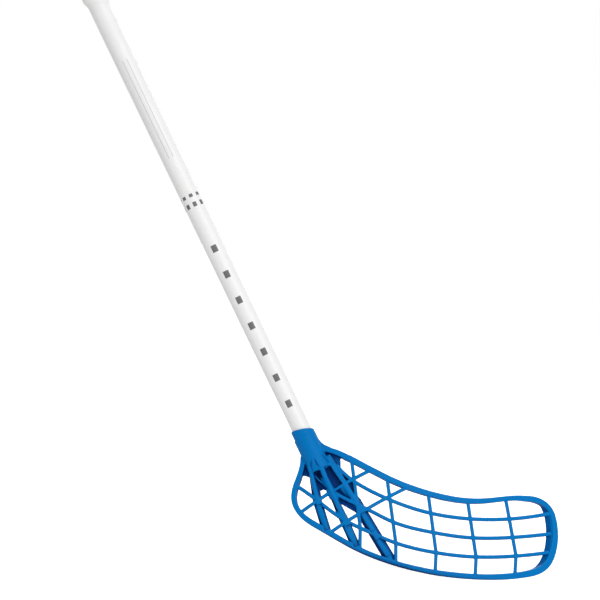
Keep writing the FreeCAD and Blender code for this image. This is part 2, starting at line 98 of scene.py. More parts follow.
# Butt plug
CAP_WALL = 8
CAP_RADIUS = 15
CAP_CROWN = 2.4
CAP_EDGE = 0.9
CAP_BEND = 4
CAP_SEAT = 0.1
CAP_FLOOR = 2
PLUG_LENGTH = 30
PLUG_WALL = 2.4
PLUG_FIT = 0.2
PLUG_RING = 0.85
PLUG_RING_DEPTHS = (24, 17, 10)

# Screws
SCREW_HEIGHTS = (13, 28)
SCREW_FACE = 12.9
SCREW_LENGTH = 9
SCREW_RADIUS = 1.7
HEAD_RADIUS = 3.2
HEAD_HEIGHT = 2
HEAD_LIP = 0.2
HEAD_BEND = 1.45
RECESS_SIZE = (3.4, 0.75, 1.6)
RECESS_MIDDLE = 1.7

# Blade: places in its front view are shares of its length and height, and depths run back from
# the hook's front surface
BLADE_LENGTH = 280
BLADE_HEIGHT = 110
HOOK_RADIUS = 420
HOOK_APEX = 3.08
SOCKET_SEAT = 104
SOCKET_OFFSET = 11
WEB_DEPTHS = (5.9, 8.1)
SHOULDER_DEPTHS = (1.5, 8.3)
TOE_WALL_REACH = 2.8
TOE_WALL_ROOT = 1.6
TOE_WALL_LIP = 0.3
TOE_WALL_DEPTHS = (1.6, 8.2)
CUT_START = -25
BAR_SIDE_DEPTH = 6.0
BAR_HALF_WIDTH = 3.2
BARE_BAR_DEPTH = 3.05
FLUTE_REACH = 12.1
FLUTE_RADIUS = 1.4
VOXEL = 0.5
SOFTEN_PASSES = 8
LATTICE_SWELL = 0.34
SOCKET_SWELL = 0.1
BORE_FIT = 0.12
BORE_SKIN = 0.25
BORE_FOOT = 0.2

lean_turn = Matrix.Rotation(-LEAN, 4, "X")
shaft_turn = lean_turn @ Matrix.Rotation(-LIE, 4, "Y")
shaft_pose = shaft_turn @ Matrix.Translation((0, 0, -(SHAFT_LENGTH + CAP_WALL / 2) * MM))
tip_on_blade = Vector((-SOCKET_SEAT * math.sin(LIE), SOCKET_OFFSET, SOCKET_SEAT * math.cos(LIE)))
blade_pose = Matrix.Translation(shaft_pose.translation - lean_turn @ tip_on_blade * MM) @ lean_turn


# Materials

class Shader:
    """A node material, with short ways to add nodes and to join them."""

    def __init__(self, name, **surface):
        self.material = bpy.data.materials.new(name)
        self.material.use_nodes = True
        self.tree = self.material.node_tree
        self.surface = self.tree.nodes["Principled BSDF"]
        for socket, value in surface.items():
            self.surface.inputs[socket.replace("_", " ")].default_value = value

    def feed(self, socket, value):
        """Join a socket to another one, or set its value."""
        if isinstance(value, bpy.types.NodeSocket):
            self.tree.links.new(value, socket)
        else:
            socket.default_value = value

    def node(self, kind, **inputs):
        """A new node with some of its inputs fed."""
        node = self.tree.nodes.new(f"ShaderNode{kind}")
        for name, value in inputs.items():
            self.feed(node.inputs[name.replace("_", " ")], value)
        return node

    def math(self, operation, *values):
        """A sum, product or other operation on numbers."""
        node = self.node("Math")
        node.operation = operation
        for socket, value in zip(node.inputs, values):
            self.feed(socket, value)
        return node.outputs[0]

    def place(self):
        """Places in metres in the row's frame."""
        return self.node("TexCoord").outputs["Object"]

    def placed(self, pose):
        """Places in metres in another frame."""
        mapping = self.node("Mapping", Vector=self.place())
        mapping.vector_type = "TEXTURE"
        mapping.inputs["Location"].default_value = pose.translation
        mapping.inputs["Rotation"].default_value = pose.to_euler()
        return mapping.outputs["Vector"]

    def along_shaft(self):
        """Places in the shaft's frame: X, Y and the height from the tip."""
        return self.placed(shaft_pose)

    def split(self, place):
        """A place's X, Y and Z."""
        return self.node("SeparateXYZ", Vector=place).outputs

    def distance(self, first, second):
        """The length of the long side of a right triangle."""
        squares = [self.math("POWER", side, 2.0) for side in (first, second)]
        return self.math("SQRT", self.math("ADD", *squares))

    def noise(self, place, scale, detail=4):
        """An uneven value from 0 to 1, finer as its scale grows."""
        node = self.node("TexNoise", Vector=place, Scale=scale, Detail=detail)
        return node.outputs[0]

    def ramp(self, value, start, end, low=0.0, high=1.0):
        """A value that goes from one level to another between two places."""
        node = self.node(
            "MapRange", Value=value, From_Min=start, From_Max=end, To_Min=low, To_Max=high)
        return node.outputs[0]

    def spread(self, value, low, high):
        """A value from 0 to 1 spread between two others."""
        return self.ramp(value, 0.0, 1.0, low, high)

    def band(self, value, middle, half_width, soft):
        """1 near a middle value and 0 away from it, with a soft edge."""
        away = self.math("ABSOLUTE", self.math("SUBTRACT", value, middle))
        return self.ramp(away, half_width - soft, half_width + soft, 1.0, 0.0)

    def mix(self, factor, first, second):
        """One colour turning into another as a factor goes from 0 to 1."""
        node = self.node("Mix")
        node.data_type = "RGBA"
        for index, value in ((0, factor), (6, first), (7, second)):
            self.feed(node.inputs[index], value)
        return node.outputs[2]

    def set(self, name, value):
        """Feed an input of the surface itself."""
        self.feed(self.surface.inputs[name], value)

    def bump(self, height, strength, distance):
        """Fine relief on the surface."""
        node = self.node("Bump", Height=height, Strength=strength, Distance=distance)
        self.set("Normal", node.outputs["Normal"])


def lacquer():
    """White lacquer on a composite tube, with a printed check ring, plain dashes and hairlines."""
    shader = Shader("white_lacquer_looks", Coat_Weight=0.15, Coat_Roughness=0.3, IOR=1.45)
    place = shader.along_shaft()
    axes = shader.split(place)
    angle = shader.math("ARCTAN2", axes["Y"], axes["X"])
    height = axes["Z"]
    sharp = 0.1 * MM
    tone = shader.noise(place, 60)
    white = shader.mix(tone, (0.86, 0.86, 0.855, 1), (0.90, 0.90, 0.90, 1))

    # Check ring: two rows of squares round the shaft
    column_width = 360 / RING_COLUMNS
    column = shader.math("DIVIDE", angle, math.radians(column_width))
    column = shader.math("ADD", column, RING_ANGLE / column_width + 0.5)
    across = shader.band(shader.math("FRACT", column), 0.5, 0.25, 0.02)
    rows = [shader.band(height, middle * MM, half * MM, sharp) for middle, half in RING_ROWS]
    ring = shader.math("MULTIPLY", across, shader.math("MAXIMUM", *rows))

    # Plain dashes along the face, and two hairlines above the ring
    dash_step = shader.math("FRACT", shader.math("DIVIDE", height, DASH_PITCH * MM))
    dash_run = shader.band(height, DASH_MIDDLE * MM, DASH_HALF_LENGTH * MM, sharp)
    dash = shader.math("MULTIPLY", shader.band(dash_step, 0.5, 0.13, 0.006), dash_run)
    dash_face = shader.band(angle, math.radians(DASH_ANGLE), 0.30, 0.012)
    dash = shader.math("MULTIPLY", dash, dash_face)
    lines = [shader.band(angle, math.radians(line), 0.040, 0.008) for line in HAIRLINE_ANGLES]
    line_run = shader.band(height, HAIRLINE_MIDDLE * MM, HAIRLINE_HALF_LENGTH * MM, 2 * sharp)
    line = shader.math("MULTIPLY", shader.math("MAXIMUM", *lines), line_run)

    worn = shader.spread(shader.noise(place, 900, 2), 0.86, 1.0)
    printed = shader.math("MULTIPLY", shader.math("MAXIMUM", ring, dash), worn)
    grey = shader.mix(tone, (0.060, 0.060, 0.063, 1), (0.10, 0.10, 0.104, 1))
    colour = shader.mix(shader.math("MULTIPLY", line, 0.5), white, (0.35, 0.35, 0.36, 1))
    shader.set("Base Color", shader.mix(printed, colour, grey))
    shader.set("Roughness", shader.spread(shader.noise(place, 180), 0.38, 0.50))
    shader.bump(shader.noise(place, 420, 2), 0.05, 0.0004)
    return shader.material


def recess_shade(shader, geometry, height):
    """Painted shade from 0 to 1, by how deep a place lies in the lattice or in a corner, and half that
    at the toe.
    """
    axes = shader.split(shader.placed(blade_pose))
    aside = shader.math("SUBTRACT", axes["X"], HOOK_APEX * MM)
    chord = shader.math("SUBTRACT", (HOOK_RADIUS * MM) ** 2, shader.math("POWER", aside, 2.0))
    front = shader.math("SUBTRACT", HOOK_RADIUS * MM, shader.math("SQRT", chord))
    # The shade begins nearer to the front at the toe, and leaves out what faces back
    depth = shader.math("SUBTRACT", axes["Y"], front)
    depth = shader.math("ADD", depth, shader.ramp(axes["X"], 0.10, 0.15, 0.0, 0.0018))
    behind = shader.ramp(depth, 0.0030, 0.0050)
    facing = shader.node("VectorMath")
    facing.operation = "DOT_PRODUCT"
    shader.feed(facing.inputs[0], geometry.outputs["Normal"])
    facing.inputs[1].default_value = lean_turn.to_3x3() @ Vector((0, 1, 0))
    shown = shader.ramp(facing.outputs["Value"], 0.15, 0.6, 1.0, 0.0)
    below_socket = shader.ramp(height, -0.004, 0.002, 1.0, 0.0)
    # How enclosed a place is gates the painted shade, and adds painted shade of its own in tight
    # corners
    hollow = shader.node("AmbientOcclusion", Distance=0.025).outputs["AO"]
    inside = shader.math("MULTIPLY", below_socket, shader.ramp(hollow, 0.98, 0.90))
    deep = shader.math("MULTIPLY", shader.math("MULTIPLY", behind, shown), inside)
    deep = shader.math("MAXIMUM", deep, shader.ramp(hollow, 0.86, 0.40))
    return shader.math("MULTIPLY", deep, shader.ramp(axes["X"], 0.03, 0.06, 1.0, 0.5))


def blue_plastic():
    """Moulded blue plastic, with painted shade in its recesses and flutes and a painted highlight along
    its sharp edges.
    """
    shader = Shader("blue_plastic_looks", IOR=1.46)
    place = shader.place()
    tone = shader.noise(place, 45, 5)
    blue = shader.mix(tone, (0.0, 0.168, 0.490, 1), (0.0, 0.194, 0.555, 1))
    geometry = shader.node("NewGeometry")
    axes = shader.split(shader.along_shaft())
    height = axes["Z"]
    deep = recess_shade(shader, geometry, height)
    # Painted shade in the socket's flutes, which lie nearer to the shaft than its skin does
    fluted = shader.ramp(height, 0.015, 0.018, 1.0, 0.0)
    painted_flute_shade = shader.ramp(shader.distance(axes["X"], axes["Y"]), 0.0118, 0.0110, 0.0, 0.75)
    painted_flute_shade = shader.math("MULTIPLY", painted_flute_shade, shader.ramp(height, -0.001, 0.001))
    deep = shader.math("MAXIMUM", deep, shader.math("MULTIPLY", painted_flute_shade, fluted))
    # Painted shade: the blue turns dark navy in the recesses, corners and flutes
    blue = shader.mix(shader.math("MULTIPLY", deep, 0.9), blue, (0.0, 0.028, 0.190, 1))
    # Painted highlight: a paler blue along sharp edges, left off on the socket above its flutes
    edge = shader.ramp(geometry.outputs["Pointiness"], 0.52, 0.58, 0.0, 0.65)
    edge = shader.math("MULTIPLY", edge, fluted)
    shader.set("Base Color", shader.mix(edge, blue, (0.02, 0.34, 0.78, 1)))
    shader.set("Roughness", shader.spread(shader.noise(place, 240), 0.36, 0.52))
    shader.set("Specular IOR Level", 0.06)
    shader.bump(shader.noise(place, 1500, 3), 0.12, 0.0002)
    return shader.material


def padded_grip():
    """Soft white grip with rows of fine dimples, painted a darker grey inside them as shade."""
    shader = Shader("grip_white_looks", IOR=1.45, Sheen_Weight=0.08)
    row_height = 0.0024
    columns = 32
    place = shader.along_shaft()
    axes = shader.split(place)
    angle = shader.math("ARCTAN2", axes["Y"], axes["X"])
    row = shader.math("DIVIDE", axes["Z"], row_height)
    shift = shader.math("MULTIPLY", shader.math("FLOOR", row), 0.5)
    column = shader.math("ADD", shader.math("MULTIPLY", angle, columns / math.tau), shift)
    down = shader.math("SUBTRACT", shader.math("FRACT", row), 0.5)
    across = shader.math("SUBTRACT", shader.math("FRACT", column), 0.5)
    raised = shader.ramp(shader.distance(down, across), 0.14, 0.24)
    tone = shader.noise(place, 90)
    white = shader.mix(tone, (0.82, 0.82, 0.81, 1), (0.88, 0.88, 0.875, 1))
    # Painted shade: the dimples are a darker grey than the raised grip
    shader.set("Base Color", shader.mix(raised, (0.62, 0.62, 0.61, 1), white))
    shader.set("Roughness", shader.spread(tone, 0.55, 0.72))
    grain = shader.math("MULTIPLY", shader.noise(place, 700), 0.25)
    shader.bump(shader.math("ADD", raised, grain), 0.35, 0.0004)
    return shader.material


def band_tape():
    """White cloth tape with a fine weave."""
    shader = Shader("tape_white_looks", IOR=1.45)
    thread_pitch = 0.0005
    threads_round = 150.0
    place = shader.along_shaft()
    axes = shader.split(place)
    angle = shader.math("ARCTAN2", axes["Y"], axes["X"])
    thread = shader.math("SINE", shader.math("MULTIPLY", axes["Z"], math.tau / thread_pitch))
    cross_thread = shader.math("SINE", shader.math("MULTIPLY", angle, threads_round))
    weave = shader.math("MULTIPLY", thread, cross_thread)
    tone = shader.noise(place, 130)
    shader.set("Base Color", shader.mix(tone, (0.84, 0.84, 0.83, 1), (0.89, 0.89, 0.885, 1)))
    shader.set("Roughness", shader.spread(tone, 0.42, 0.58))
    shader.bump(shader.math("ADD", weave, shader.noise(place, 220)), 0.15, 0.0002)
    return shader.material


def cap_rubber():
    """White moulded rubber with a fine matt grain."""
    shader = Shader("cap_white_looks", IOR=1.45)
    place = shader.place()
    tone = shader.noise(place, 110)
    shader.set("Base Color", shader.mix(tone, (0.80, 0.80, 0.79, 1), (0.86, 0.86, 0.85, 1)))
    shader.set("Roughness", shader.spread(shader.noise(place, 320), 0.5, 0.66))
    shader.bump(shader.noise(place, 1300, 2), 0.15, 0.0002)
    return shader.material


def screw_steel():
    """Plated steel with fine turning marks."""
    shader = Shader("screw_steel_looks", Metallic=1.0)
    place = shader.place()
    tone = shader.noise(place, 600)
    shader.set("Base Color", shader.mix(tone, (0.50, 0.50, 0.51, 1), (0.64, 0.64, 0.65, 1)))
    shader.set("Roughness", shader.spread(tone, 0.26, 0.42))
    shader.bump(shader.noise(place, 2200, 2), 0.1, 0.0001)
    return shader.material


# Meshes

def add_piece(name, node, mesh, material, sharp=35):
    """A mesh in the row's frame that stands for a CAD node and rides on the stick."""
    mesh.name = name
    mesh.polygons.foreach_set("use_smooth", [True] * len(mesh.polygons))
    mesh.set_sharp_from_angle(angle=math.radians(sharp))
    mesh.materials.clear()
    mesh.materials.append(material)
    piece = bpy.data.objects.new(name, mesh)
    bpy.context.scene.collection.objects.link(piece)
    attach(piece, "root")
    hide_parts(node)
    return piece


def to_mesh(points, faces, pose):
    """A mesh of points in millimetres with its doubles joined and its faces turned outward."""
    shape = bmesh.new()
    corners = [shape.verts.new(pose @ (Vector(point) * MM)) for point in points]
    for face in faces:
        shape.faces.new([corners[index] for index in face])
    bmesh.ops.remove_doubles(shape, verts=shape.verts, dist=1e-7)
    bmesh.ops.recalc_face_normals(shape, faces=shape.faces)
    mesh = bpy.data.meshes.new("shape")
    shape.to_mesh(mesh)
    shape.free()
    return mesh


def strip_faces(count, length, closed):
    """Faces between rings of points that follow one another, each ring closed on itself."""
    faces = []
    for ring in range(count if closed else count - 1):
        this, other = ring * length, (ring + 1) % count * length
        for index in range(length):
            after = (index + 1) % length
            faces.append((this + index, other + index, other + after, this + after))
    return faces


def around(angle, radius, height):
    """A place at an angle round the shaft."""
    return (radius * math.cos(angle), radius * math.sin(angle), height)


def turned(profile_at, segments, pose):
    """A ring whose section, as radius and height, is given for each angle round the axis."""
    points = []
    for step in range(segments):
        angle = math.tau * step / segments
        points += [around(angle, *corner) for corner in profile_at(angle)]
    return to_mesh(points, strip_faces(segments, len(points) // segments, True), pose)


def arc(radius, height, bend, start, end, steps=6):
    """A rounded corner of a profile about a centre, between two angles in degrees."""
    places = []
    for step in range(steps + 1):
        angle = math.radians(start + (end - start) * step / steps)
        places.append((radius + bend * math.cos(angle), height + bend * math.sin(angle)))
    return places


def eased(share):
    """0 to 1 with a gentle start and end."""
    return share * share * (3 - 2 * share)


def make_shaft():
    """A tapered tube with eased ends."""
    profile = [(TIP_RADIUS - SHAFT_WALL, TIP_LENGTH), (TIP_RADIUS - SHAFT_WALL, TIP_HEIGHT)]
    profile += arc(TIP_RADIUS - TIP_EDGE, TIP_HEIGHT + TIP_EDGE, TIP_EDGE, -90, 0, 4)
    profile += [(TIP_RADIUS, TIP_LENGTH), (BUTT_RADIUS, TAPER_TOP)]
    profile += arc(BUTT_RADIUS - BUTT_EDGE, SHAFT_LENGTH - BUTT_EDGE, BUTT_EDGE, 0, 90, 4)
    profile += [(BUTT_RADIUS - SHAFT_WALL, SHAFT_LENGTH), (BUTT_RADIUS - SHAFT_WALL, TAPER_TOP)]
    mesh = turned(lambda angle: profile, 144, shaft_pose)
    return add_piece("lacquered_shaft", "shaft", mesh, lacquer())


def make_grip():
    """One padded strip wound up the shaft, with rounded edges and a slight crown."""
    steps = 72
    end_steps = steps // 12
    edge_steps = 4
    pitch = (SHAFT_LENGTH - GRIP_FOOT) / GRIP_TURNS
    edge_radius = GRIP_OUTSIDE - GRIP_CROWN
    points = []
    rings = 0
    for step in range(end_steps, (GRIP_TURNS + 1) * steps - end_steps):
        turn = step / steps
        low = max(GRIP_FOOT + pitch * (turn - 1) + GRIP_SEAM / 2, GRIP_FOOT)
        high = min(GRIP_FOOT + pitch * turn - GRIP_SEAM / 2, SHAFT_LENGTH)
        bend = min(GRIP_EDGE, (high - low) * 0.4)
        middle = (low + high) / 2
        section = [(GRIP_INSIDE, high), (GRIP_INSIDE, middle), (GRIP_INSIDE, low)]
        section += arc(edge_radius - bend, low + bend, bend, -90, 0, edge_steps)
        section.append((GRIP_OUTSIDE, middle))
        section += arc(edge_radius - bend, high - bend, bend, 0, 90, edge_steps)
        points += [around(math.tau * turn, *corner) for corner in section]
        rings += 1
    length = len(points) // rings
    faces = strip_faces(rings, length, False)
    faces += [tuple(range(length)), tuple(range((rings - 1) * length, rings * length))]
    mesh = to_mesh(points, faces, shaft_pose)
    return add_piece("wound_grip", "grip_tape", mesh, padded_grip(), 50)


def make_band():
    """A tape band whose lower edge slants, drawn down from the grip to the shaft."""
    steps = 8
    flat_share = 0.12
    inside = BUTT_RADIUS + BAND_FIT
    outside = GRIP_OUTSIDE + 0.08

    def section(angle):
        low = BAND_FOOT - BAND_SLANT * math.cos(angle)
        inner = []
        for step in range(steps + 1):
            share = step / steps
            rise = eased(min(max((share - flat_share) / (1 - flat_share), 0), 1))
            height = low + (GRIP_FOOT + BAND_LAP - low) * share
            inner.append((inside + (outside - inside) * rise, height))
        inner.append((outside, BAND_TOP - BAND_SLANT * 0.4 * math.cos(angle)))
        outer = [(radius + BAND_THICKNESS, height) for radius, height in inner]
        # The lower edge is pressed thinner
        outer[0] = (inner[0][0] + BAND_THICKNESS * 0.6, inner[0][1])
        return inner + outer[::-1]

    mesh = turned(section, 120, shaft_pose)
    return add_piece("tape_band", "finishing_tape", mesh, band_tape(), 40)


def make_cap():
    """A butt plug with a rounded flange, a shallow ring in its crown and rings on its plug."""
    core = BUTT_RADIUS - SHAFT_WALL - PLUG_RING - PLUG_FIT
    bore = core - PLUG_WALL
    foot = SHAFT_LENGTH - PLUG_LENGTH
    floor = SHAFT_LENGTH + CAP_FLOOR
    seat = SHAFT_LENGTH + CAP_SEAT
    top = SHAFT_LENGTH + CAP_WALL + CAP_CROWN
    profile = [(0, floor), (bore, floor), (bore, foot), (core, foot)]
    for depth in PLUG_RING_DEPTHS:
        profile += arc(core, SHAFT_LENGTH - depth, PLUG_RING, -90, 90)
    profile += [(core, seat), (CAP_RADIUS - CAP_EDGE, seat)]
    profile += arc(CAP_RADIUS - CAP_EDGE, seat + CAP_EDGE, CAP_EDGE, -90, 0)
    profile += arc(CAP_RADIUS - CAP_BEND, top - CAP_BEND, CAP_BEND, 0, 75, 12)
    # The crown's shallow ring, as radii and depths
    crown = ((9.6, 0.05), (9.2, 0.45), (8.4, 0.5), (8.0, 0.1), (5, 0), (0, 0))
    profile += [(radius, top - depth) for radius, depth in crown]
    mesh = turned(lambda angle: profile, 96, shaft_pose)
    return add_piece("butt_plug", "end_cap", mesh, cap_rubber(), 50)


def applied(piece):
    """A piece's mesh with its modifiers carried out."""
    bpy.context.view_layer.update()
    drawn = piece.evaluated_get(bpy.context.evaluated_depsgraph_get())
    return bpy.data.meshes.new_from_object(drawn)


def helper(name, shape):
    """A passing object for a modifier to work on."""
    mesh = bpy.data.meshes.new(name)
    shape.to_mesh(mesh)
    shape.free()
    item = bpy.data.objects.new(name, mesh)
    bpy.context.scene.collection.objects.link(item)
    return item


def cut_away(piece, tool):
    """Let one object cut another, when modifiers are carried out."""
    cut = piece.modifiers.new("cut", "BOOLEAN")
    cut.operation = "DIFFERENCE"
    cut.object = tool
    cut.use_self = True


def add_screws():
    """Two pan-head screws with a cross recess."""
    profile = [(0, 0), (SCREW_RADIUS, 0), (SCREW_RADIUS, SCREW_LENGTH)]
    profile += arc(HEAD_RADIUS - HEAD_LIP, SCREW_LENGTH + HEAD_LIP, HEAD_LIP, -90, 0, 3)
    head_top = SCREW_LENGTH + HEAD_HEIGHT
    profile += arc(HEAD_RADIUS - HEAD_BEND, head_top - HEAD_BEND, HEAD_BEND, 0, 80, 8)
    profile.append((0, head_top))
    recess_place = Matrix.Translation((0, 0, (SCREW_LENGTH + RECESS_MIDDLE) * MM))
    recess_size = Matrix.Diagonal([side * MM for side in RECESS_SIZE] + [1])
    shape = bmesh.new()
    cutters = bmesh.new()
    for height in SCREW_HEIGHTS:
        place = Matrix.Translation((0, (SCREW_FACE - SCREW_LENGTH) * MM, height * MM))
        pose = shaft_pose @ place @ Matrix.Rotation(math.radians(-90), 4, "X")
        shape.from_mesh(turned(lambda angle: profile, 48, pose))
        for turn in (45, 135):
            turned_recess = Matrix.Rotation(math.radians(turn), 4, "Z") @ recess_place @ recess_size
            bmesh.ops.create_cube(cutters, size=1, matrix=pose @ turned_recess)
    heads, tool = helper("heads", shape), helper("tool", cutters)
    cut_away(heads, tool)
    mesh = applied(heads)
    bpy.data.objects.remove(heads)
    bpy.data.objects.remove(tool)
    return add_piece("pan_head_screws", "blade_screws", mesh, screw_steel(), 40)


def front_view(share):
    """A place of the blade's front view, from shares of its length and height."""
    return Vector((BLADE_LENGTH * share[0], BLADE_HEIGHT * share[1]))


def add_prism(shape, outline, shallow, deep):
    """A front view pushed through the blade between two depths."""
    sides = []
    for depth in (shallow, deep):
        corners = []
        for x, z in outline:
            front = HOOK_RADIUS - math.sqrt(HOOK_RADIUS ** 2 - (x - HOOK_APEX) ** 2)
            corners.append(shape.verts.new(blade_pose @ (Vector((x, front + depth, z)) * MM)))
        sides.append(corners)
    near, far = sides
    faces = [shape.faces.new(near), shape.faces.new(far)]
    for index in range(len(outline)):
        after = (index + 1) % len(outline)
        faces.append(shape.faces.new((near[index], far[index], far[after], near[after])))
    bmesh.ops.recalc_face_normals(shape, faces=faces)


def add_tube(shape, points, sides):
    """A closed tube through rings of points that follow one another."""
    corners = [shape.verts.new(point) for point in points]
    rings = strip_faces(len(points) // sides, sides, False)
    faces = [shape.faces.new([corners[index] for index in face]) for face in rings]
    faces += [shape.faces.new(corners[:sides]), shape.faces.new(corners[-sides:])]
    bmesh.ops.recalc_face_normals(shape, faces=faces)


def in_hook(place, depth):
    """A place of the front view, at a depth square to the hook's surface."""
    turn = math.asin((place.x - HOOK_APEX) / HOOK_RADIUS)
    depth_left = HOOK_RADIUS - depth
    return Vector((
        place.x - depth * math.sin(turn), HOOK_RADIUS - depth_left * math.cos(turn), place.y))


def toe_stations():
    """Places along the rim's outer edge at the toe, each with its way inward and the rim's width."""
    steps = 6
    outline = [
        (0.492, 0.130), (0.603, 0.235), (0.664, 0.350), (0.687, 0.555), (0.669, 0.802),
        (0.624, 0.964), (0.565, 1.003), (0.470, 0.918)]
    outline = [front_view(share) for share in outline]
    widths = (4.8, 5.8, 6.4, 6.1, 4.9, 4.1)
    stations = []
    for span in range(1, len(outline) - 2):
        last, here, there, beyond = outline[span - 1:span + 3]
        slope, slope_there = (there - last) / 2, (beyond - here) / 2
        bend = 3 * (there - here) - 2 * slope - slope_there
        twist = 2 * (here - there) + slope + slope_there
        width, width_there = widths[span - 1:span + 1]
        for step in range(steps):
            share = step / steps
            place = here + slope * share + bend * share ** 2 + twist * share ** 3
            along = slope + 2 * bend * share + 3 * twist * share ** 2
            inward = along.orthogonal().normalized()
            stations.append((place, inward, width + (width_there - width) * share))
    return stations


def add_toe_wall(shape):
    """The inside of the rim at the toe, which slopes in towards the back."""
    stations = toe_stations()
    shallow, deep = TOE_WALL_DEPTHS
    points = []
    for number, (place, inward, width) in enumerate(stations):
        swing = math.sin(math.pi * number / (len(stations) - 1)) ** 0.6
        root = width - TOE_WALL_ROOT
        section = (
            (root, shallow), (width - TOE_WALL_LIP, shallow), (width + TOE_WALL_REACH * swing, deep),
            (root, deep))
        for across, depth in section:
            points.append(blade_pose @ (in_hook(place + inward * across, depth) * MM))
    add_tube(shape, points, len(section))


def add_flute(shape, stops):
    """A groove's cutter on the socket, through degrees round the shaft and heights along it."""
    steps = 6
    sides = 8
    centres = []
    for (angle, height), (next_angle, next_height) in zip(stops, stops[1:]):
        for step in range(steps):
            share = step / steps
            turn = math.radians(angle + (next_angle - angle) * share)
            level = height + (next_height - height) * share
            centres.append(Vector((FLUTE_REACH * math.sin(turn), -FLUTE_REACH * math.cos(turn), level)))
    last = len(centres) - 1
    points = []
    for number, centre in enumerate(centres):
        along = centres[min(number + 1, last)] - centres[max(number - 1, 0)]
        out = Vector((centre.x, centre.y, 0)).normalized()
        across = along.cross(out).normalized()
        radius = FLUTE_RADIUS * (0.4 + 0.6 * math.sin(math.pi * number / last))
        for side in range(sides):
            turn = math.tau * side / sides
            place = centre + (out * math.cos(turn) + across * math.sin(turn)) * radius
            points.append(shaft_pose @ (place * MM))
    add_tube(shape, points, sides)


def hollows():
    """What the mould keeps clear: pockets, the sides and low fronts of the bars, and flutes."""
    shape = bmesh.new()
    # Pockets between the crests, with how deep they go
    pockets = [
        (6.9, [(-0.219, 0.747), (-0.200, 0.797), (-0.180, 0.742), (-0.141, 0.652), (-0.162, 0.592),
               (-0.168, 0.590), (-0.201, 0.673)]),
        (6.4, [(-0.253, 0.700), (-0.232, 0.727), (-0.211, 0.645)]),
        (6.4, [(-0.250, 0.668), (-0.189, 0.574), (-0.208, 0.548), (-0.227, 0.563)]),
        (6.0, [(-0.205, 0.893), (-0.175, 0.889), (-0.163, 0.868), (-0.158, 0.815), (-0.181, 0.838)]),
        (6.0, [(-0.271, 0.696), (-0.288, 0.676), (-0.258, 0.520), (-0.232, 0.491)]),
        (6.0, [(-0.165, 0.496), (-0.178, 0.472), (-0.157, 0.406), (-0.129, 0.374)]),
    ]
    for depth, outline in pockets:
        add_prism(shape, [front_view(share) for share in outline], CUT_START, depth)
    # Stretches of the bars, with the sides between which they are cut back and to what depth
    bare = (-BAR_HALF_WIDTH, BAR_HALF_WIDTH, BARE_BAR_DEPTH)
    stretches = [
        ((-0.236, 0.555), (-0.225, 0.495), (2.3, 6.0, BAR_SIDE_DEPTH)),
        ((-0.152, 0.484), (-0.116, 0.362), (2.2, 6.0, BAR_SIDE_DEPTH)),
        ((-0.209, 0.417), (-0.158, 0.189), bare),
        ((-0.087, 0.287), (-0.040, 0.100), bare),
        ((-0.048, 0.424), (0.007, 0.275), bare),
        ((0.029, 0.217), (0.083, 0.075), bare),
    ]
    for start, end, (left, right, depth) in stretches:
        start, end = front_view(start), front_view(end)
        aside = (end - start).orthogonal().normalized()
        corners = [start + aside * left, end + aside * left, end + aside * right, start + aside * right]
        add_prism(shape, corners, CUT_START, depth)
    # Flutes where the bars run up into the socket
    flutes = [
        [(-26, 13.5), (-47, 8), (-55, -0.5)],
        [(-14, 13.5), (-15, 6.5), (-9, 0)],
        [(24, 14), (41, 10), (55, 5), (51, 1.5)],
    ]
    for stops in flutes:
        add_flute(shape, stops)
    return helper("hollows", shape)


def drop_strays(mesh):
    """Take away the loose specks that a remesh leaves, and keep the one large body."""
    shape = bmesh.new()
    shape.from_mesh(mesh)
    left = set(shape.verts)
    bodies = []
    while left:
        body = [left.pop()]
        for corner in body:
            for edge in corner.link_edges:
                other = edge.other_vert(corner)
                if other in left:
                    left.remove(other)
                    body.append(other)
        bodies.append(body)
    bodies.sort(key=len)
    strays = [corner for body in bodies[:-1] for corner in body]
    bmesh.ops.delete(shape, geom=strays, context="VERTS")
    shape.to_mesh(mesh)
    shape.free()


def swell(mesh, into_shaft):
    """Give back the thickness that softening takes, inside the CAD blade's box."""
    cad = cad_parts["blade"].data.vertices
    lowest = [min(corner.co[axis] for corner in cad) for axis in range(3)]
    highest = [max(corner.co[axis] for corner in cad) for axis in range(3)]
    places = []
    for corner in mesh.vertices:
        amount = LATTICE_SWELL if (into_shaft @ corner.co).z < 0 else SOCKET_SWELL
        place = corner.co + corner.normal * amount * MM
        places.append(Vector(sorted(limits)[1] for limits in zip(lowest, place, highest)))
    for corner, place in zip(mesh.vertices, places):
        corner.co = place


def clear_bore(mesh, into_shaft):
    """Keep the socket's bore just outside the shaft."""
    bore = TIP_RADIUS + BORE_FIT
    for corner in mesh.vertices:
        place = into_shaft @ corner.co / MM
        reach = math.hypot(place.x, place.y)
        if place.z > BORE_FOOT and reach < bore + BORE_SKIN:
            place.x *= bore / reach
            place.y *= bore / reach
            corner.co = shaft_pose @ (place * MM)


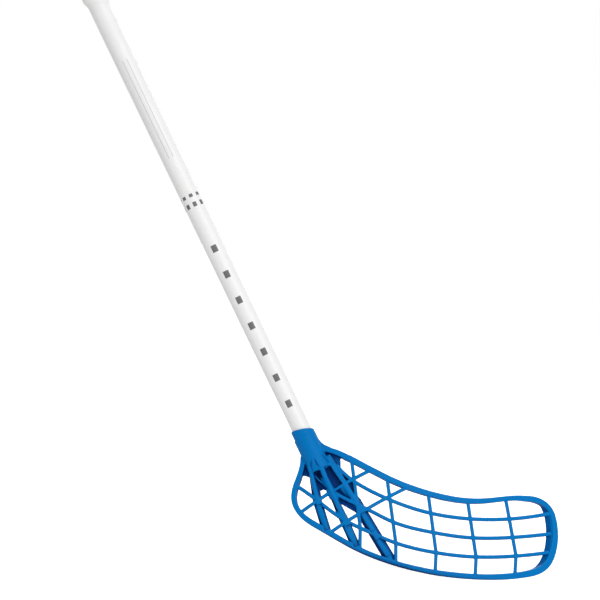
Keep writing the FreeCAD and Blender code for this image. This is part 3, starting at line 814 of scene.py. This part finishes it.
def add_blade():
    """The CAD blade with a moulding's soft edges, pockets and flutes, kept clear of the shaft."""
    shape = bmesh.new()
    shape.from_mesh(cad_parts["blade"].data)
    bmesh.ops.remove_doubles(shape, verts=shape.verts, dist=1e-6)
    web_edge = [
        (-0.160, 0.765), (-0.118, 0.712), (-0.099, 0.706), (-0.086, 0.584), (-0.110, 0.619),
        (-0.142, 0.689)]
    add_prism(shape, [front_view(share) for share in web_edge], *WEB_DEPTHS)
    shoulder = [
        (-0.262, 1.022), (-0.249, 0.996), (-0.238, 0.981), (-0.212, 0.966), (-0.203, 0.930),
        (-0.243, 0.909)]
    add_prism(shape, [front_view(share) for share in shoulder], *SHOULDER_DEPTHS)
    add_toe_wall(shape)
    moulding, tool = helper("moulding", shape), hollows()
    cut_away(moulding, tool)
    remesh = moulding.modifiers.new("skin", "REMESH")
    remesh.mode = "VOXEL"
    remesh.voxel_size = VOXEL * MM
    soften = moulding.modifiers.new("soften", "SMOOTH")
    soften.factor = 0.5
    soften.iterations = SOFTEN_PASSES
    mesh = applied(moulding)
    bpy.data.objects.remove(moulding)
    bpy.data.objects.remove(tool)
    drop_strays(mesh)
    into_shaft = shaft_pose.inverted()
    swell(mesh, into_shaft)
    clear_bore(mesh, into_shaft)
    return add_piece("moulded_blade", "blade", mesh, blue_plastic(), 180)


make_shaft()
add_blade()
add_screws()
make_grip()
make_band()
make_cap()

# Camera: turned and rolled as the photograph is, and aimed from where the shaft's line meets the sole
CAMERA_TURN = math.radians(13)
CAMERA_DISTANCE = 4000
VIEW_WIDTH = 612
SENSOR_WIDTH = 36
FOOT = Vector((632.9, -6, -810.07))
FOOT_RIGHT = 66.3
FOOT_DOWN = 265.2
scene = bpy.context.scene
cosine, sine = math.cos(CAMERA_TURN), math.sin(CAMERA_TURN)
blade_across = Vector((1, 0, 0))
blade_up = lean_turn.to_3x3() @ Vector((0, 0, 1))
blade_front = lean_turn.to_3x3() @ Vector((0, -1, 0))
right = cosine * blade_across + cosine * sine * blade_up + sine ** 2 * blade_front
up = -sine * blade_across + cosine ** 2 * blade_up + sine * cosine * blade_front
back = cosine * blade_front - sine * blade_up
aim = lean_turn @ FOOT - FOOT_RIGHT * right + FOOT_DOWN * up
camera_data = bpy.data.cameras.new("camera")
camera_data.sensor_width = SENSOR_WIDTH
camera_data.lens = SENSOR_WIDTH * CAMERA_DISTANCE / VIEW_WIDTH
camera_data.clip_end = 100
camera = bpy.data.objects.new("camera", camera_data)
camera_turn = Matrix((right, up, back)).transposed().to_4x4()
camera.matrix_world = Matrix.Translation((aim + CAMERA_DISTANCE * back) * MM) @ camera_turn
scene.collection.objects.link(camera)
scene.camera = camera
scene.view_settings.view_transform = "Standard"

# Light: an even white studio, with a soft key lamp from the right and a fill lamp behind
SKY_LIGHT = 0.5
SKY_SEEN = 1
world = bpy.data.worlds.new("studio")
world.use_nodes = True
scene.world = world
sky = world.node_tree
soft_sky = sky.nodes["Background"]
seen_sky = sky.nodes.new("ShaderNodeBackground")
for background, strength in ((soft_sky, SKY_LIGHT), (seen_sky, SKY_SEEN)):
    background.inputs["Color"].default_value = (1, 1, 1, 1)
    background.inputs["Strength"].default_value = strength
ray = sky.nodes.new("ShaderNodeLightPath")
pick_sky = sky.nodes.new("ShaderNodeMixShader")
seen = ray.outputs["Is Camera Ray"]
for kind in ("Is Glossy Ray", "Is Transmission Ray"):
    both = sky.nodes.new("ShaderNodeMath")
    both.operation = "MAXIMUM"
    sky.links.new(seen, both.inputs[0])
    sky.links.new(ray.outputs[kind], both.inputs[1])
    seen = both.outputs[0]
sky.links.new(seen, pick_sky.inputs[0])
sky.links.new(soft_sky.outputs[0], pick_sky.inputs[1])
sky.links.new(seen_sky.outputs[0], pick_sky.inputs[2])
sky.links.new(pick_sky.outputs[0], sky.nodes["World Output"].inputs["Surface"])


def add_lamp(name, place, size, power):
    """A square lamp, placed in metres from the middle of the view, which it faces."""
    lamp = bpy.data.lights.new(name, "AREA")
    lamp.size = size
    lamp.energy = power
    item = bpy.data.objects.new(name, lamp)
    item.location = aim * MM + place
    item.rotation_euler = (-place).to_track_quat("-Z", "Y").to_euler()
    scene.collection.objects.link(item)


add_lamp("key", 1.45 * right + 1.4 * up + 2.6 * back, 2.2, 55)
add_lamp("fill", 0.4 * right + 1.6 * up - 2.6 * back, 2.6, 34)

# Floor: pale, and lit so that only the stick's faint shadow shows on it
FLOOR_REACH = 30
FLOOR_GLOW = 0.72
low = cad_box[0][2]
floor_mesh = bpy.data.meshes.new("floor")
corners = [
    (x * FLOOR_REACH, y * FLOOR_REACH, low) for x, y in ((-1, -1), (1, -1), (1, 1), (-1, 1))]
floor_mesh.from_pydata(corners, [], [(0, 1, 2, 3)])
floor = bpy.data.objects.new("floor", floor_mesh)
scene.collection.objects.link(floor)
paper = Shader("pale_floor", Roughness=0.9)
paper.set("Specular IOR Level", 0.0)
tone = paper.noise(paper.place(), 3)
paper.set("Base Color", paper.mix(tone, (0.87, 0.87, 0.87, 1), (0.9, 0.9, 0.9, 1)))
paper.set("Emission Color", (1, 1, 1, 1))
camera_ray = paper.node("LightPath").outputs["Is Camera Ray"]
paper.set("Emission Strength", paper.math("MULTIPLY", camera_ray, FLOOR_GLOW))
floor_mesh.materials.append(paper.material)
